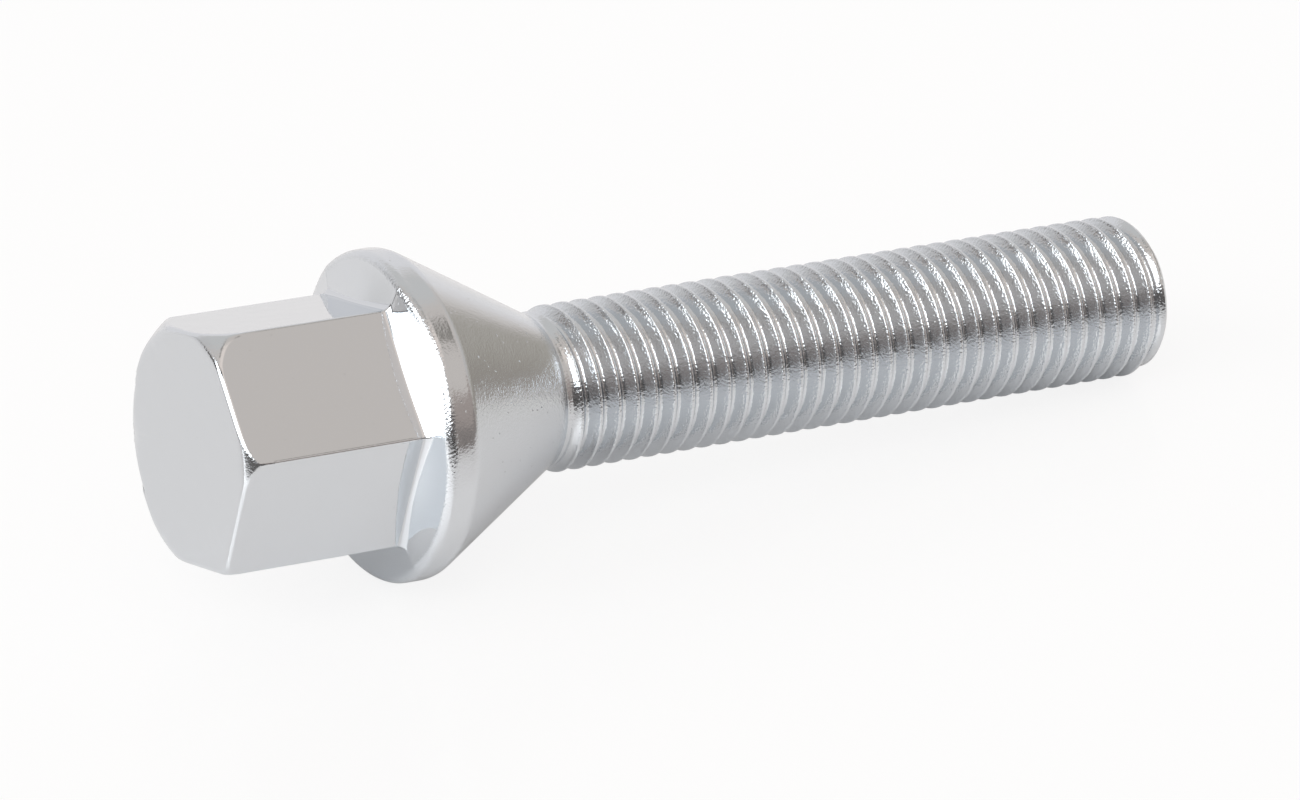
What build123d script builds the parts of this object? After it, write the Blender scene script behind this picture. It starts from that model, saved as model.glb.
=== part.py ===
from build123d import *
import os
from math import asin, atan2, cos, hypot, radians, sin, tan

# An extended wheel bolt, forged and turned from one piece of steel and plated all over.
# Lengths are in millimetres. Places along the bolt are measured from the front of its head.

# Hexagon head, for a 17 mm wheel socket
hex_across_flats = 16.6
hex_height = 13.95          # front face to the foot of the flats
hex_turn = 14.2             # turn of one corner away from straight up, in degrees
corner_clip = 0.05          # worn off the six long corners, as a strip 0.2 mm wide
front_edge_radius = 0.35    # round the front face
foot_fillet = 0.65          # between each flat and the collar

# The forging did not fill the front of the six corners, so they are rounded off there
corner_inset = 1.0          # from the long corner in to the flat front face
corner_depth = 1.6          # from the front face back to the full corner

# Collar: six shallow forged facets inside a turned rim
facet_angle = 9.0           # lean of the facets from square to the bolt, in degrees
rim_diameter = 23.5
rim_width = 2.0
rim_front_radius = 0.7
rim_rear_radius = 1.2

# Cone seat and the plain neck behind it
seat_angle = 60.0           # included angle of the cone, in degrees
neck_diameter = 11.04       # the blank that the thread is rolled on
neck_length = 0.9
neck_fillet = 2.0

# Threaded shank, drawn as its crest cylinder: M12 x 1.5 is a fine thread
crest_diameter = 11.86
crest_lead_in = 0.45        # rise from the neck to the full crest
shank_length = 51.0         # small end of the cone to the tip
tip_radius = 1.5            # rounding of the tip

# Spare metal, which the flats and facets cut away again
clip_end = 1.1              # the clipped corners end this far in front of the foot of the flats
flare = 0.4                 # slope back from there to the rim
ridge_overlap = 0.05        # the rounding of the rim starts this far in front of the ridges
bar_margin = 1.5            # the bars stand this far proud of the blank

# Places that follow from the sizes above
half_flats = hex_across_flats / 2
corner_reach = half_flats / cos(radians(30))
barrel_radius = corner_reach - corner_clip
barrel_end = hex_height - clip_end
rim_radius = rim_diameter / 2
neck_radius = neck_diameter / 2
crest_radius = crest_diameter / 2
facet_slope = tan(radians(facet_angle))
ridge_reach = rim_radius - rim_front_radius
ridge_front = hex_height + (ridge_reach * cos(radians(30)) - half_flats) * facet_slope
rim_arc_start = ridge_front - ridge_overlap
rim_arc_end = rim_arc_start + rim_front_radius
rim_front = hex_height + (rim_radius - half_flats) * facet_slope
rim_rear = rim_front + rim_width
seat_end = rim_rear + (rim_radius - neck_radius) / tan(radians(seat_angle / 2))
overall_length = seat_end + shank_length


def turned_blank():
    """The round form: collar, cone seat, neck and shank, and a barrel for the hexagon."""
    face_radius = barrel_radius - corner_inset
    front_corner = TangentArc((barrel_radius, corner_depth), (face_radius, 0), tangent=(0, -1))
    up_to_collar = Polyline(
        (barrel_radius, corner_depth),
        (barrel_radius, barrel_end),
        (ridge_reach, barrel_end + flare),
        (ridge_reach, rim_arc_start),
    )
    rim_arc = TangentArc((rim_radius, rim_arc_end), (ridge_reach, rim_arc_start), tangent=(0, -1))
    rest = Polyline(
        (rim_radius, rim_arc_end),
        (rim_radius, rim_rear),
        (neck_radius, seat_end),
        (neck_radius, seat_end + neck_length),
        (crest_radius, seat_end + neck_length + crest_lead_in),
        (crest_radius, overall_length),
        (0, overall_length),
        (0, 0),
        (face_radius, 0),
    )
    section = make_face(Curve() + [front_corner, up_to_collar, rim_arc, rest])
    roundings = (
        (rim_radius, rim_rear, rim_rear_radius),
        (neck_radius, seat_end, neck_fillet),
        (crest_radius, overall_length, tip_radius),
    )
    for radius, place, rounding in roundings:
        corner = section.vertices().sort_by_distance((radius, place))[0]
        section = fillet(corner, rounding)
    return revolve(Plane.XZ * section, Axis.Z)


def flats_and_facets(turn):
    """A bar whose section has one pair of flats, their foot fillets and their collar facets."""
    outer = rim_radius + bar_margin
    right = (
        (half_flats, -bar_margin),
        (half_flats, hex_height),
        (outer, hex_height + (outer - half_flats) * facet_slope),
        (outer, overall_length + bar_margin),
    )
    left = [(-across, place) for across, place in reversed(right)]
    section = make_face(Polyline(*right, *left, close=True))
    feet = section.vertices().filter_by(lambda v: abs(v.Y - hex_height) < 1e-6)
    section = fillet(feet, foot_fillet)
    return Rot(0, 0, turn) * extrude(Plane.XZ * section, amount=outer, both=True)


def wheel_bolt():
    """The bolt along +Z, with the front of its head at the origin and its upper side towards +X."""
    bolt = turned_blank()
    for pair in range(3):
        bolt = bolt & flats_and_facets(hex_turn + 30 + 60 * pair)
    front_edges = bolt.faces().sort_by(Axis.Z)[0].edges()
    return fillet(front_edges, front_edge_radius)


def resting_lean():
    """How far the bolt leans when it lies on the rear of its rim and on its tip."""
    rim_centre = (rim_radius - rim_rear_radius, rim_rear - rim_rear_radius * tan(radians(seat_angle / 4)))
    tip_centre = (crest_radius - tip_radius, overall_length - tip_radius)
    drop = rim_centre[0] - tip_centre[0]
    run = tip_centre[1] - rim_centre[1]
    return atan2(drop, run) - asin((tip_radius - rim_rear_radius) / hypot(drop, run))


def lying(bolt):
    """The bolt at rest, its head towards -X, with the middle of its footprint at the origin."""
    lean = resting_lean()
    up = (sin(lean), 0, cos(lean))
    along = (cos(lean), 0, -sin(lean))
    laid = Plane(origin=(0, 0, 0), x_dir=up, z_dir=along).location * bolt
    box = laid.bounding_box()
    return Pos(-box.center().X, -box.center().Y, -box.min.Z) * laid


os.makedirs("parts", exist_ok=True)
export_step(lying(wheel_bolt()), "parts/wheel_bolt.step")
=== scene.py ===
from math import atan2, cos, hypot, pi, radians, sin, sqrt, tan

import bmesh
import bpy
from mathutils import Matrix, Vector


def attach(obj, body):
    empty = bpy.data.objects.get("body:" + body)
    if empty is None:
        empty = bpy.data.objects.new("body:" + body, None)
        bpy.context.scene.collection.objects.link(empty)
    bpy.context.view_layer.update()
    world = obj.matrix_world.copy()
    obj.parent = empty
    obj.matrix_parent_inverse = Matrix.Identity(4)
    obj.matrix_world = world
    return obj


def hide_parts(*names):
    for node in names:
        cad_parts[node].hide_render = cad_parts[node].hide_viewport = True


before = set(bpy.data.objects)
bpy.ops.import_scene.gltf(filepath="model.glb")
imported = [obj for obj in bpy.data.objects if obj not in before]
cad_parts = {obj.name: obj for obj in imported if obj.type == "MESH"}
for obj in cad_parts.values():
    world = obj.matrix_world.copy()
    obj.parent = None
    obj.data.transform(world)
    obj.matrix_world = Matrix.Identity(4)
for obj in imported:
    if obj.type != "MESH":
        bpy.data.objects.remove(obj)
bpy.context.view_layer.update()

# Wheel bolt
# One piece of steel: the hexagon and its collar are forged, the rim and the cone seat are
# turned, and the M12 x 1.5 thread is rolled on the shank. Everything is plated.
# The bolt is drawn upright in millimetres, from the front of its head, and laid down at the end.
lean = radians(5.4834)
head_front = Vector((-0.038776, 0.0, 0.0132474))
half_flats = 8.3
foot = 13.95
hex_turn = radians(14.2)
long_edge_radius = 0.2
front_edge_radius = 0.3
foot_fillet = 0.65          # at the corners of the hexagon
tight_foot = 0.35           # in the middle of each flat, where the facet bows forward
facet_slope = tan(radians(9))
rim_radius = 11.745
rim_front_radius = 0.7
rim_rear = 16.496
rim_rear_radius = 1.2
half_seat = radians(30)
neck_radius = 5.52
neck_fillet = 0.4
overall_length = 78.28

# Each corner's unfilled front, from the corner that is nearly on top and round towards the
# photographed side: how far in and how far back it goes, and whether it bulges like a barrel
corner_fronts = (
    (1.05, 2.5, 1.0), (1.0, 1.6, 1.0), (0.5, 0.8, 1.0),
    (1.25, 1.4, 0.3), (1.7, 1.6, 0.0), (1.4, 1.8, 0.2),
)
corner_softness = 0.15
barrel_margin = 0.03        # the rounds of the fronts start this far outside the long corners
shoulder_slope = 0.3        # how fast such a round leaves the hexagon behind the full corner
back_lean = 0.35            # the forged facets go back further on the far side
lean_start = 12             # from this place on the flats
lean_end = 16.2             # to this one in the rim
lean_fade = 1.1             # over this length the lean fades out there
lean_softness = 0.2         # rounds the change from the near side to the far side
rough_line = 0.011          # half the angle of the forged line along each long corner
line_roughness = 0.5        # its share of the roughness of the raw forged skin


def reach(apothem, turn):
    """Distance from the axis to a hexagon with rounded corners, at an angle from its corner."""
    turn = abs(turn)
    arm = (apothem - long_edge_radius) / cos(pi / 6)
    flat = apothem / cos(pi / 6 - turn)
    if flat * sin(turn) < long_edge_radius / 2:
        return arm * cos(turn) + sqrt(long_edge_radius ** 2 - (arm * sin(turn)) ** 2)
    return flat


def apothem_at(radius, turn):
    """The hexagon, named by half its width across flats, that passes through a point."""
    turn = abs(turn)
    if radius * sin(turn) < long_edge_radius / 2:
        inner = radius * cos(turn) - sqrt(long_edge_radius ** 2 - (radius * sin(turn)) ** 2)
        return inner * cos(pi / 6) + long_edge_radius
    return radius * cos(pi / 6 - turn)


# Columns round one corner, close together where the corner is rounded off
sideways = [0.0, 0.035, 0.07, 0.1, 0.14, 0.2]
sideways += [0.2 + 0.09 * step for step in range(1, 19)]
sideways += [2.1, 2.45, 2.85, 3.3, 3.7]
half_turns = [atan2(side * cos(pi / 6), half_flats - side / 2) for side in sideways]
corner_turns = [-turn for turn in reversed(half_turns[1:])] + half_turns + [pi / 6]
columns = [(corner, turn) for corner in range(6) for turn in corner_turns]

# Rows of the head, each with its distance from the axis and its place along the bolt
rows = [lambda turn, apothem=apothem: (reach(apothem, turn), 0.0)
        for apothem in (2, 4, 6, 6.8, 7.2, 7.4, 7.6, 7.75, 7.86, 7.92, 7.95)]
for step in range(1, 7):
    bend = radians(15 * step)
    edge = half_flats - front_edge_radius * (1 - sin(bend))
    place = front_edge_radius * (1 - cos(bend))
    rows.append(lambda turn, edge=edge, place=place: (reach(edge, turn), place))
flat_places = [0.4, 0.46, 0.54] + [0.63 + 0.1 * step for step in range(18)]
flat_places += [2.6, 4, 6.5, 9.5, 12, 13, 13.25, 13.35]
for place in flat_places:
    rows.append(lambda turn, place=place: (reach(half_flats, turn), place))
foot_turn = radians(81)     # the fillet turns from the flat to the slope of the facet
foot_front = foot - foot_fillet * tan(foot_turn / 2)


def foot_round(turn):
    """Radius of the fillet between flat and collar, smaller towards the middle of the flat."""
    return foot_fillet + (tight_foot - foot_fillet) * sin(3 * abs(turn))


def foot_row(turn, bend):
    fillet = foot_round(turn)
    return reach(half_flats + fillet * (1 - cos(bend)), turn), foot_front + fillet * sin(bend)


rows += [lambda turn, bend=foot_turn * step / 9: foot_row(turn, bend) for step in range(10)]


def rim_rounding(turn):
    """Slope of the facet along one column, and the centre of the rounding that ends it."""
    slope = facet_slope * cos(pi / 6 - abs(turn))
    inner = rim_radius - rim_front_radius
    centre = foot + facet_slope * (apothem_at(inner, turn) - half_flats)
    return slope, centre + rim_front_radius * sqrt(1 + slope ** 2)


def facet_row(turn, share):
    slope = rim_rounding(turn)[0]
    start = foot_row(turn, foot_turn)[0]
    end = rim_radius - rim_front_radius + rim_front_radius * slope / sqrt(1 + slope ** 2)
    radius = start + (end - start) * share
    bow = (foot_fillet - foot_round(turn)) * tan(foot_turn / 2) * (1 - share) ** 2
    return radius, foot + facet_slope * (apothem_at(radius, turn) - half_flats) - bow


def rim_row(turn, share):
    slope, centre = rim_rounding(turn)
    bend = atan2(-1, slope) * (1 - share)
    return rim_radius - rim_front_radius * (1 - cos(bend)), centre + rim_front_radius * sin(bend)


def band_row(turn, share):
    centre = rim_rounding(turn)[1]
    return rim_radius, centre + (rim_rear - rim_rear_radius * tan(half_seat / 2) - centre) * share


for row, shares in (
    (facet_row, (0.04, 0.12, 0.25, 0.4, 0.55, 0.7, 0.82, 0.92, 0.98)),
    (rim_row, (0, 0.14, 0.28, 0.42, 0.56, 0.7, 0.85, 1)),
    (band_row, (0.04, 0.15, 0.3, 0.5, 0.7, 0.85, 0.96)),
):
    rows += [lambda turn, row=row, share=share: row(turn, share) for share in shares]
for step in range(7):
    bend = half_seat * step / 6
    rows.append(lambda turn, bend=bend: (
        rim_radius - rim_rear_radius * (1 - cos(bend)),
        rim_rear + rim_rear_radius * (sin(bend) - tan(half_seat / 2)),
    ))
seat_end = rim_rear + (rim_radius - neck_radius) / tan(half_seat)
seat_top = rim_radius - rim_rear_radius * (1 - cos(half_seat))
seat_foot = neck_radius + neck_fillet * (1 - cos(half_seat))
for share in (0.01, 0.04, 0.12, 0.22, 0.34, 0.46, 0.58, 0.7, 0.82, 0.91, 0.97, 0.99):
    radius = seat_top + (seat_foot - seat_top) * share
    rows.append(lambda turn, radius=radius: (radius, rim_rear + (rim_radius - radius) / tan(half_seat)))
for step in range(6):
    bend = half_seat * (1 - step / 5)
    rows.append(lambda turn, bend=bend: (
        neck_radius + neck_fillet * (1 - cos(bend)),
        seat_end + neck_fillet * (tan(half_seat / 2) - sin(bend)),
    ))

# The head is lathed: a disc of columns is extruded from row to row
bolt_mesh = bmesh.new()
as_forged = bolt_mesh.verts.layers.float.new("as_forged")
bmesh.ops.create_circle(bolt_mesh, cap_ends=True, cap_tris=True, segments=len(columns), radius=1)
hub = min(bolt_mesh.verts, key=lambda v: v.co.length)
ring = sorted((v for v in bolt_mesh.verts if v != hub), key=lambda v: atan2(v.co.y, v.co.x))


def place_ring(ring, row):
    for (corner, turn), v in zip(columns, ring):
        radius, place = row(turn)
        angle = hex_turn + corner * pi / 3 + turn
        v.co = (radius * cos(angle), radius * sin(angle), place)
        v[as_forged] = line_roughness * (abs(turn) < rough_line and place > front_edge_radius)


place_ring(ring, rows[0])
for row in rows[1:]:
    edges = [bolt_mesh.edges.get((v, ring[n - 1])) for n, v in enumerate(ring)]
    extruded = set(bmesh.ops.extrude_edge_only(bolt_mesh, edges=edges)["geom"])
    ring = [next(e.other_vert(v) for e in v.link_edges if e.other_vert(v) in extruded) for v in ring]
    place_ring(ring, row)
head_end = [bolt_mesh.edges.get((v, ring[n - 1])) for n, v in enumerate(ring)]
for v in bolt_mesh.verts:
    share = min((v.co.z - lean_start) / (foot_front - lean_start), (lean_end - v.co.z) / lean_fade, 1)
    if share > 0:
        across = -v.co.y / rim_radius
        v.co.z += back_lean * share * (across + hypot(across, lean_softness))


# The forging did not fill the front of the corners: each vertex there is drawn back to a
# round that is turned about the bolt's axis
def soft_overlap(first, second, radius):
    """Distance outside two bodies at once, with the edge between them rounded."""
    corner = hypot(max(first + radius, 0), max(second + radius, 0))
    return corner + min(max(first, second), -radius)


def unfilled(point):
    angle = atan2(point.y, point.x) - hex_turn
    corner = round(angle / (pi / 3))
    turn = angle - corner * pi / 3
    inset, depth, bulge = corner_fronts[corner % 6]
    barrel = reach(half_flats, 0) + barrel_margin
    sweep = (inset ** 2 + depth ** 2) / (2 * inset)
    radius = hypot(point.x, point.y)
    body = soft_overlap(apothem_at(radius, turn) - half_flats, -point.z, front_edge_radius)
    round_front = hypot(max(radius - (barrel - sweep), 0), max(depth - point.z, 0)) - sweep
    flat_front = ((radius - barrel) * depth + (depth - point.z) * inset) / hypot(inset, depth)
    worn = flat_front + (round_front - flat_front) * bulge
    worn -= shoulder_slope * max(point.z - depth, 0)
    return soft_overlap(body, worn, corner_softness)


heart = Vector((0, 0, 7))   # inside the head: the vertices are drawn towards it
raw_depth = 0.12            # metal missing by this much leaves the raw forged skin
fronts_end = 2.4            # the unfilled fronts lie in front of this place
fronts_start = 7.4          # and outside this radius
least_missing = 0.0005      # less than this is left alone
for v in bolt_mesh.verts:
    if v.co.z > fronts_end or hypot(v.co.x, v.co.y) < fronts_start or unfilled(v.co) < least_missing:
        continue
    outside, inside = v.co.copy(), v.co.lerp(heart, 0.3)
    for halving in range(14):
        middle = outside.lerp(inside, 0.5)
        if unfilled(middle) > 0:
            outside = middle
        else:
            inside = middle
    v[as_forged] = min((v.co - inside).length / raw_depth, 1)
    v.co = inside

# The rolled thread: one pitch of its section is spun round the shank, and fades out at the neck
pitch = 1.5
half_thread = radians(30)   # half the angle between two flanks
crest_radius = 5.93
half_crest = 0.094
crest_rounding = 0.06
root_radius = 5.05
root_rounding = 0.256
flank_margin = 0.015        # the flanks are flat right up to their roundings
first_crest = 29.4047
turns = 37
steps_per_turn = 72
early_turns = 3             # turns before the first full crest, cut off again at the neck
weld = 0.002                # the turns are joined where they meet this closely
fade_start = 27.42
fade_length = 1.3
tip_radius = 1.5
half_section = [(0.0, crest_radius)]
for bend in (0, 30, 60):
    across = half_crest - crest_rounding * tan(half_thread) + crest_rounding * sin(radians(bend))
    half_section.append((across, crest_radius - crest_rounding * (1 - cos(radians(bend)))))
root_end = pitch / 2 - root_rounding * sin(radians(60))
for beside in (across + flank_margin, root_end - flank_margin):
    half_section.append((beside, crest_radius - (beside - half_crest) / tan(half_thread)))
for bend in (60, 40, 20, 0):
    across = pitch / 2 - root_rounding * sin(radians(bend))
    half_section.append((across, root_radius + root_rounding * (1 - cos(radians(bend)))))
section = [(-across, radius) for across, radius in reversed(half_section[1:])] + half_section
head = set(bolt_mesh.verts)
strip_start = first_crest - early_turns * pitch
strip = [bolt_mesh.verts.new((radius, 0, strip_start + across)) for across, radius in section]
strip_edges = [bolt_mesh.edges.new(pair) for pair in zip(strip, strip[1:])]
bmesh.ops.spin(
    bolt_mesh, geom=strip + strip_edges, cent=(0, 0, 0), axis=(0, 0, 1), angle=2 * pi,
    dvec=(0, 0, pitch / steps_per_turn), steps=steps_per_turn,
)
one_turn = [f for f in bolt_mesh.faces if f.verts[0] not in head]
for turn in range(1, turns):
    copied = bmesh.ops.duplicate(bolt_mesh, geom=one_turn)["geom"]
    moved = [v for v in copied if isinstance(v, bmesh.types.BMVert)]
    bmesh.ops.translate(bolt_mesh, verts=moved, vec=(0, 0, turn * pitch))
bmesh.ops.remove_doubles(bolt_mesh, verts=[v for v in bolt_mesh.verts if v not in head], dist=weld)
for place, side in ((fade_start, {"clear_inner": True}), (overall_length, {"clear_outer": True})):
    shank = [v for v in bolt_mesh.verts if v not in head]
    shank += [e for e in bolt_mesh.edges if e.verts[0] not in head]
    shank += [f for f in bolt_mesh.faces if f.verts[0] not in head]
    bmesh.ops.bisect_plane(
        bolt_mesh, geom=shank, dist=1e-5, plane_co=(0, 0, place), plane_no=(0, 0, 1), **side,
    )
for v in bolt_mesh.verts:
    if v in head:
        continue
    radius = hypot(v.co.x, v.co.y)
    rise = min((v.co.z - fade_start) / fade_length, 1)
    fresh = neck_radius + (radius - neck_radius) * rise * rise * (3 - 2 * rise)
    into_tip = max(v.co.z - overall_length + tip_radius, 0)
    fresh = min(fresh, crest_radius - tip_radius + sqrt(max(tip_radius ** 2 - into_tip ** 2, 0)))
    v.co.x *= fresh / radius
    v.co.y *= fresh / radius
open_edges = [e for e in bolt_mesh.edges if e.is_boundary and e.verts[0] not in head]
neck_end = [e for e in open_edges if e.verts[0].co.z < overall_length / 2]
tip_end = [e for e in open_edges if e.verts[0].co.z > overall_length / 2]
bmesh.ops.bridge_loops(bolt_mesh, edges=head_end + neck_end)
tip_face = bmesh.ops.edgeloop_fill(bolt_mesh, edges=tip_end)["faces"]
bmesh.ops.inset_region(bolt_mesh, faces=tip_face, thickness=0.08)
bmesh.ops.recalc_face_normals(bolt_mesh, faces=bolt_mesh.faces)
for f in bolt_mesh.faces:
    f.smooth = True
    middle = f.calc_center_median()
    behind_rim = middle.z > rim_rear
    turned = behind_rim or hypot(middle.x, middle.y) > rim_radius - rim_front_radius
    f.material_index = turned + behind_rim + (middle.z > seat_end)

# The bolt lies on the rear of its rim and on its tip
up = Vector((sin(lean), 0, cos(lean)))
along = Vector((cos(lean), 0, -sin(lean)))
laid = Matrix((up, (0, -1, 0), along)).transposed().to_4x4()
bolt_mesh.transform(Matrix.Translation(head_front) @ laid @ Matrix.Scale(0.001, 4))
mesh = bpy.data.meshes.new("wheel_bolt_forging")
bolt_mesh.to_mesh(mesh)
bolt_mesh.free()
bolt = bpy.data.objects.new("wheel_bolt_forging", mesh)
bpy.context.scene.collection.objects.link(bolt)
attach(bolt, "root")
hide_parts("wheel_bolt")

# How the plating looks: bright on the forged head, a little duller on the turned rim, satin on
# the ground seat, and bright but grainy on the rolled thread.
# Every finish is worked out along and across the bolt, and its relief is given in millimetres.
plate_colour = (0.7, 0.735, 0.77, 1)


def new_node(tree, kind, **settings):
    """A node whose settings are sockets where it has one of that name, and properties if not."""
    made = tree.nodes.new(kind)
    for name, value in settings.items():
        if name in made.inputs:
            made.inputs[name].default_value = value
        else:
            setattr(made, name, value)
    return made


def calculate(tree, operation, *values, clamp=False):
    made = new_node(tree, "ShaderNodeMath", operation=operation, use_clamp=clamp)
    for number, value in enumerate(values):
        if isinstance(value, bpy.types.NodeSocket):
            tree.links.new(value, made.inputs[number])
        else:
            made.inputs[number].default_value = value
    return made.outputs[0]


def texture(tree, kind, vector, output, **settings):
    made = new_node(tree, kind, **settings)
    tree.links.new(vector, made.inputs["Vector"])
    return made.outputs[output]


def graded(tree, value, start, end, low=0, high=1):
    """Low up to start and high from end on, with a smooth change between them."""
    made = new_node(tree, "ShaderNodeMapRange", interpolation_type="SMOOTHSTEP")
    for socket, number in (("From Min", start), ("From Max", end), ("To Min", low), ("To Max", high)):
        made.inputs[socket].default_value = number
    tree.links.new(value, made.inputs["Value"])
    return made.outputs[0]


# Shared by the four finishes: the plating swells and sinks, is grainy, and has small pits
pit_reach = 0.14            # of the distance between pits
pit_edge = 7.0              # how steep the edge of a pit is
pit_limit = 0.52            # noise above this has pits
uneven = bpy.data.node_groups.new("uneven_plating", "ShaderNodeTree")
uneven.interface.new_socket("Place", in_out="INPUT", socket_type="NodeSocketVector")
for name in ("Swell", "Grain", "Pits"):
    uneven.interface.new_socket(name, in_out="INPUT", socket_type="NodeSocketFloat")
uneven.interface.new_socket("Height", in_out="OUTPUT", socket_type="NodeSocketFloat")
given = new_node(uneven, "NodeGroupInput")
swell = texture(uneven, "ShaderNodeTexNoise", given.outputs["Place"], 0, Scale=420, Detail=1)
grain = texture(uneven, "ShaderNodeTexNoise", given.outputs["Place"], 0, Scale=5500, Detail=2)
spots = texture(uneven, "ShaderNodeTexVoronoi", given.outputs["Place"], "Distance", Scale=1500)
sparse = texture(uneven, "ShaderNodeTexNoise", given.outputs["Place"], 0, Scale=800, Detail=1)
pit = calculate(uneven, "SUBTRACT", pit_reach, spots, clamp=True)
pit = calculate(uneven, "MULTIPLY", pit, pit_edge, clamp=True)
pit = calculate(uneven, "MULTIPLY", pit, calculate(uneven, "GREATER_THAN", sparse, pit_limit))
height = calculate(uneven, "MULTIPLY", swell, given.outputs["Swell"])
height = calculate(uneven, "MULTIPLY_ADD", grain, given.outputs["Grain"], height)
height = calculate(uneven, "SUBTRACT", height, calculate(uneven, "MULTIPLY", pit, given.outputs["Pits"]))
given_out = new_node(uneven, "NodeGroupOutput")
uneven.links.new(height, given_out.inputs["Height"])

# Shared by the rim and the seat: the fine rings that the turning tool left round the bolt
rings_per_metre = 5000.0
breaks_round = 9.0          # how often a ring changes on its way round
rings = bpy.data.node_groups.new("turning_marks", "ShaderNodeTree")
rings.interface.new_socket("Place", in_out="INPUT", socket_type="NodeSocketVector")
rings.interface.new_socket("Mark", in_out="OUTPUT", socket_type="NodeSocketFloat")
given = new_node(rings, "NodeGroupInput")
parts = new_node(rings, "ShaderNodeSeparateXYZ")
rings.links.new(given.outputs["Place"], parts.inputs[0])
round_bolt = calculate(rings, "ARCTAN2", parts.outputs[1], parts.outputs[2])
along_and_round = new_node(rings, "ShaderNodeCombineXYZ")
along_bolt = calculate(rings, "MULTIPLY", parts.outputs[0], rings_per_metre)
rings.links.new(along_bolt, along_and_round.inputs[0])
rings.links.new(calculate(rings, "MULTIPLY", round_bolt, breaks_round), along_and_round.inputs[1])
mark = texture(rings, "ShaderNodeTexNoise", along_and_round.outputs[0], 0, Scale=1, Detail=2)
given_out = new_node(rings, "NodeGroupOutput")
rings.links.new(mark, given_out.inputs["Mark"])


def plating(name, roughness, swell, grain, pits):
    """A plate finish with its uneven surface, ready for what is special to it."""
    finish = bpy.data.materials.new(name)
    finish.use_nodes = True
    tree = finish.node_tree
    shader = tree.nodes["Principled BSDF"]
    shader.inputs["Base Color"].default_value = plate_colour
    shader.inputs["Metallic"].default_value = 1
    shader.inputs["Roughness"].default_value = roughness
    on_bolt = new_node(tree, "ShaderNodeTexCoord")
    turned = new_node(tree, "ShaderNodeMapping")
    turned.inputs["Rotation"].default_value = (0, -lean, 0)
    turned.inputs["Location"].default_value = -(Matrix.Rotation(-lean, 3, "Y") @ head_front)
    tree.links.new(on_bolt.outputs["Object"], turned.inputs["Vector"])
    surface = new_node(tree, "ShaderNodeGroup", node_tree=uneven, Swell=swell, Grain=grain, Pits=pits)
    tree.links.new(turned.outputs[0], surface.inputs["Place"])
    bump = new_node(tree, "ShaderNodeBump", Distance=0.001)
    tree.links.new(surface.outputs["Height"], bump.inputs["Height"])
    tree.links.new(bump.outputs[0], shader.inputs["Normal"])
    mesh.materials.append(finish)
    return tree, shader, turned.outputs[0], surface, bump


# Forged head: a mirror, but the unfilled fronts of the corners keep the grainy forged skin
mirror_roughness = 0.04
mirror_grain = 0.0004
skin_roughness = 0.14       # added where the skin is as forged
skin_grain = 0.02
tree, shader, place, surface, bump = plating(
    "forged_plate", mirror_roughness, swell=0.012, grain=mirror_grain, pits=0.004,
)
skin = new_node(tree, "ShaderNodeAttribute", attribute_name="as_forged").outputs["Fac"]
grain = calculate(tree, "ADD", calculate(tree, "MULTIPLY", skin, skin_grain), mirror_grain)
tree.links.new(grain, surface.inputs["Grain"])
roughness = calculate(tree, "MULTIPLY_ADD", skin, skin_roughness, mirror_roughness)
tree.links.new(roughness, shader.inputs["Roughness"])

# Turned rim and ground seat: rings round the bolt under the plating. The rim's front is ragged,
# so its grain gets coarser from one place on the bolt to the next one forward, in metres.
fine_at = 0.0153
coarse_at = 0.0146
for name, roughness, swell, grain, pits, ring_depth in (
    ("rim_plate", 0.13, 0.06, 0.014, 0.035, 0.003), ("seat_plate", 0.16, 0.02, 0.014, 0.035, 0.007),
):
    tree, shader, place, surface, bump = plating(name, roughness, swell, grain, pits)
    marks = new_node(tree, "ShaderNodeGroup", node_tree=rings)
    tree.links.new(place, marks.inputs["Place"])
    both = calculate(tree, "MULTIPLY_ADD", marks.outputs["Mark"], ring_depth, surface.outputs["Height"])
    tree.links.new(both, bump.inputs["Height"])
    if name == "rim_plate":
        parts = new_node(tree, "ShaderNodeSeparateXYZ")
        tree.links.new(place, parts.inputs[0])
        ragged = graded(tree, parts.outputs[0], fine_at, coarse_at, low=0.012, high=0.04)
        tree.links.new(ragged, surface.inputs["Grain"])

# Rolled thread: grainy all over, and the crests, which the rolls never touched, are the roughest
rough_from = 0.0057         # metres from the axis
rough_to = 0.00592
tree, shader, place, surface, bump = plating("thread_plate", 0.08, 0.005, 0.02, 0.012)
across_bolt = new_node(tree, "ShaderNodeVectorMath", operation="MULTIPLY")
across_bolt.inputs[1].default_value = (0, 1, 1)
tree.links.new(place, across_bolt.inputs[0])
radius = new_node(tree, "ShaderNodeVectorMath", operation="LENGTH")
tree.links.new(across_bolt.outputs[0], radius.inputs[0])
rough_crest = graded(tree, radius.outputs["Value"], rough_from, rough_to, low=0.03, high=0.055)
tree.links.new(rough_crest, surface.inputs["Grain"])

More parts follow.
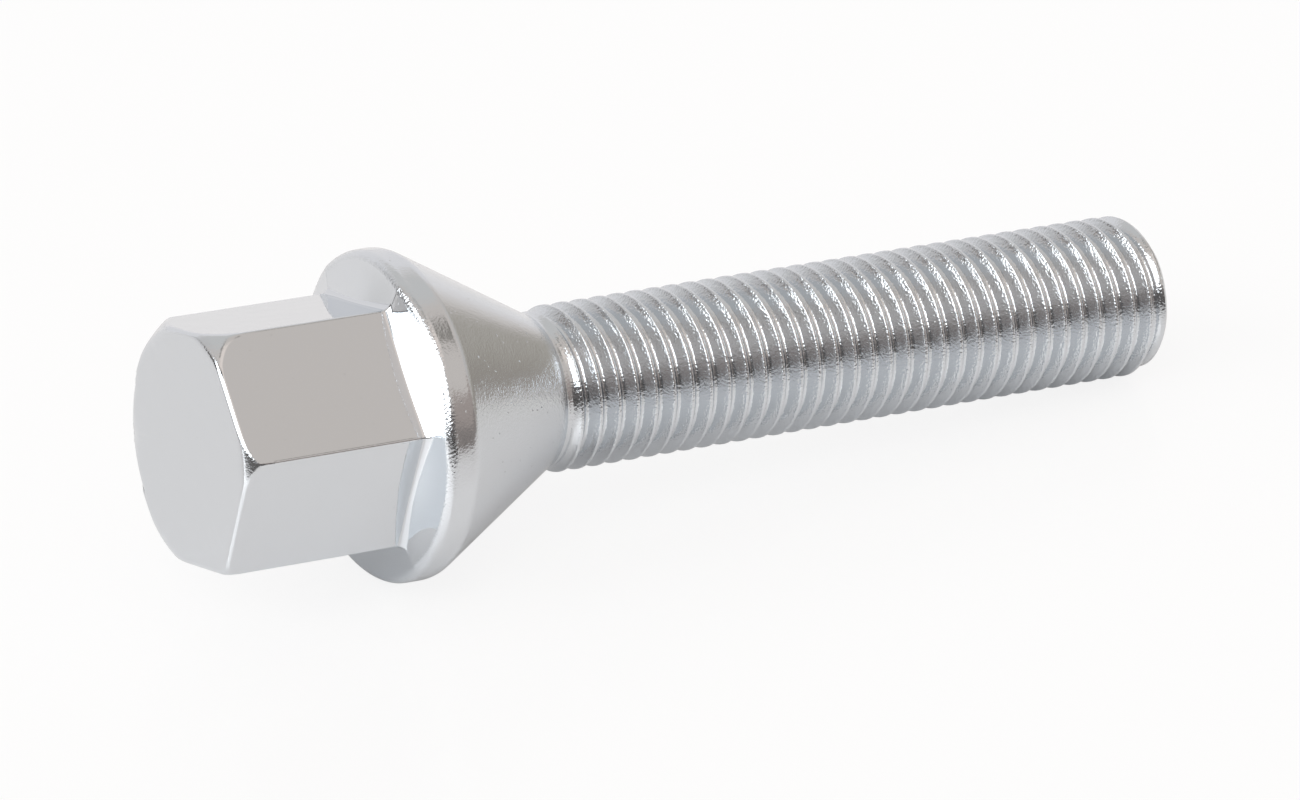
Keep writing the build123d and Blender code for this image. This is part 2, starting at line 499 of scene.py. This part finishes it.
# Studio
# White paper with a sheen that sweeps up behind the bolt, one large soft box to the left above
# the camera, a pale ceiling and a dim room. None of it is part of the object.
scene = bpy.context.scene
floor_front = 0.12          # the white paper ends this far in front of the bolt
floor_right = 0.21          # and this far beyond its tip's side
half_floor = 0.6
floor_bm = bmesh.new()
bmesh.ops.create_grid(floor_bm, x_segments=1, y_segments=1, size=half_floor)
bmesh.ops.translate(
    floor_bm, verts=floor_bm.verts, vec=(floor_right - half_floor, half_floor - floor_front, 0),
)
floor_mesh = bpy.data.meshes.new("floor")
floor_bm.to_mesh(floor_mesh)
floor_bm.free()
floor = bpy.data.objects.new("floor", floor_mesh)
scene.collection.objects.link(floor)
paint = bpy.data.materials.new("floor_paint")
paint.use_nodes = True
paper = paint.node_tree
coated = paper.nodes["Principled BSDF"]
coated.inputs["Base Color"].default_value = (0.86, 0.855, 0.855, 1)
coated.inputs["Roughness"].default_value = 0.22
coated.inputs["Specular IOR Level"].default_value = 1
floor_mesh.materials.append(paint)

# The camera sees the floor white, with only a pale shadow under the bolt
white_to_camera = 0.86
white_in_plate = 0.08
white = new_node(paper, "ShaderNodeEmission", Color=(1, 1, 1, 1), Strength=1)
lifted = new_node(paper, "ShaderNodeMixShader")
rays = new_node(paper, "ShaderNodeLightPath").outputs
seen_directly = calculate(paper, "MAXIMUM", rays["Is Camera Ray"], rays["Is Transmission Ray"])
seen_in_plate = calculate(paper, "MULTIPLY", rays["Is Glossy Ray"], white_in_plate)
white_share = calculate(paper, "MULTIPLY_ADD", seen_directly, white_to_camera, seen_in_plate)
paper.links.new(white_share, lifted.inputs[0])
paper.links.new(coated.outputs[0], lifted.inputs[1])
paper.links.new(white.outputs[0], lifted.inputs[2])
paper.links.new(lifted.outputs[0], paper.nodes["Material Output"].inputs["Surface"])

world = bpy.data.worlds.new("studio")
world.use_nodes = True
scene.world = world
sky = world.node_tree
for spare in list(sky.nodes):
    sky.nodes.remove(spare)
looking = new_node(sky, "ShaderNodeTexCoord")
parts = new_node(sky, "ShaderNodeSeparateXYZ")
sky.links.new(looking.outputs["Generated"], parts.inputs[0])
around = calculate(sky, "ARCTAN2", parts.outputs[0], calculate(sky, "MULTIPLY", parts.outputs[1], -1.0))
around = calculate(sky, "DEGREES", around)
rise = calculate(sky, "DEGREES", calculate(sky, "ARCSINE", parts.outputs[2]))


def window(tree, value, low, high, soft):
    """1 between low and high, and 0 outside, over a soft edge."""
    opens = graded(tree, value, low - soft, low + soft)
    closes = graded(tree, value, high + soft, high - soft)
    return calculate(tree, "MULTIPLY", opens, closes)


# Directions round the bolt in degrees: 0 is the side of the camera, +90 the tip's side. The dim
# room is split where the lower edge of the soft box rises towards the right.
colour = new_node(sky, "ShaderNodeRGB")
colour.outputs[0].default_value = (0.74, 0.67, 0.62, 1)
colour = colour.outputs[0]
panels = (
    ("pale ceiling", (-60, 58, 8), (57, 110, 4), (1.0, 0.88, 0.8, 1)),
    ("dim overhead", (-135, 225, 5), (80, 110, 4), (0.4, 0.37, 0.34, 1)),
    ("dim room", (-135, 60, 5), (-30, 26, 3), (0.46, 0.39, 0.355, 1)),
    ("dim low wall", (-135, 60, 5), (-30, 8, 3), (0.3, 0.26, 0.24, 1)),
    ("dark room", (-135, 20, 10), (-30, 24, 3), (0.16, 0.145, 0.14, 1)),
    ("dark horizon", (-135, 20, 5), (-30, 4, 3), (0.06, 0.055, 0.05, 1)),
    ("pale doorway", (64, 118, 5), (-30, 30, 6), (0.68, 0.64, 0.61, 1)),
    ("dull doorway", (64, 118, 5), (-30, 14, 8), (0.5, 0.46, 0.4, 1)),
    ("foot of the doorway", (64, 118, 5), (-30, 5, 4), (0.37, 0.33, 0.29, 1)),
    ("dark lintel", (61, 90, 4), (45, 57, 4), (0.3, 0.275, 0.245, 1)),
    ("dim above the sweep", (112, 225, 8), (36, 80, 8), (0.72, 0.7, 0.68, 1)),
    ("sweep behind", (126, 225, 7), (-90, 34, 6), (0.93, 0.9, 0.9, 1)),
    ("grey wall beside the sweep", (208, 225, 4), (2, 48, 4), (0.66, 0.64, 0.63, 1)),
    ("black rim of the soft box", (-123, -15, 2), (28, 75, 2), (0.08, 0.08, 0.08, 1)),
    ("soft box", (-115, -23, 2), (34, 69, 2), (4.1, 4.1, 4.1, 1)),
)
first_direction = -135.0    # directions are counted from here all the way round
studio_light = 0.94
box_slant = -0.25           # the soft box and its rim rise by this much for each degree round
wrapped = calculate(sky, "SUBTRACT", around, first_direction)
wrapped = calculate(sky, "FLOORED_MODULO", wrapped, 360.0)
wrapped = calculate(sky, "ADD", wrapped, first_direction)
slanted = calculate(sky, "MULTIPLY_ADD", wrapped, box_slant, rise)
for name, (left, right, side_soft), (low, high, rise_soft), shade in panels:
    level = slanted if "soft box" in name else rise
    inside = window(sky, wrapped, left, right, side_soft)
    inside = calculate(sky, "MULTIPLY", inside, window(sky, level, low, high, rise_soft))
    mixed = new_node(sky, "ShaderNodeMix", data_type="RGBA", label=name)
    sky.links.new(inside, mixed.inputs["Factor"])
    sky.links.new(colour, mixed.inputs["A"])
    mixed.inputs["B"].default_value = shade
    colour = mixed.outputs["Result"]
seen = new_node(sky, "ShaderNodeBackground", Strength=studio_light)
sky.links.new(colour, seen.inputs["Color"])
backdrop = new_node(sky, "ShaderNodeBackground", Color=(1, 1, 1, 1))
rays = new_node(sky, "ShaderNodeLightPath").outputs
either = new_node(sky, "ShaderNodeMixShader")
seen_directly = calculate(sky, "MAXIMUM", rays["Is Camera Ray"], rays["Is Transmission Ray"])
sky.links.new(seen_directly, either.inputs[0])
sky.links.new(seen.outputs[0], either.inputs[1])
sky.links.new(backdrop.outputs[0], either.inputs[2])
world_out = new_node(sky, "ShaderNodeOutputWorld")
sky.links.new(either.outputs[0], world_out.inputs["Surface"])

# Camera, at the photograph's viewing angle
view_direction = Vector((0.44885, 0.76943, -0.45443))
camera_data = bpy.data.cameras.new("camera")
camera_data.lens = 209.86
camera_data.sensor_width = 36
camera_data.clip_start = 0.01
camera = bpy.data.objects.new("camera", camera_data)
camera.location = (-0.243948, -0.415122, 0.252630)
camera.rotation_mode = "QUATERNION"
camera.rotation_quaternion = view_direction.to_track_quat("-Z", "Y")
scene.collection.objects.link(camera)
scene.camera = camera
scene.view_settings.view_transform = "Standard"
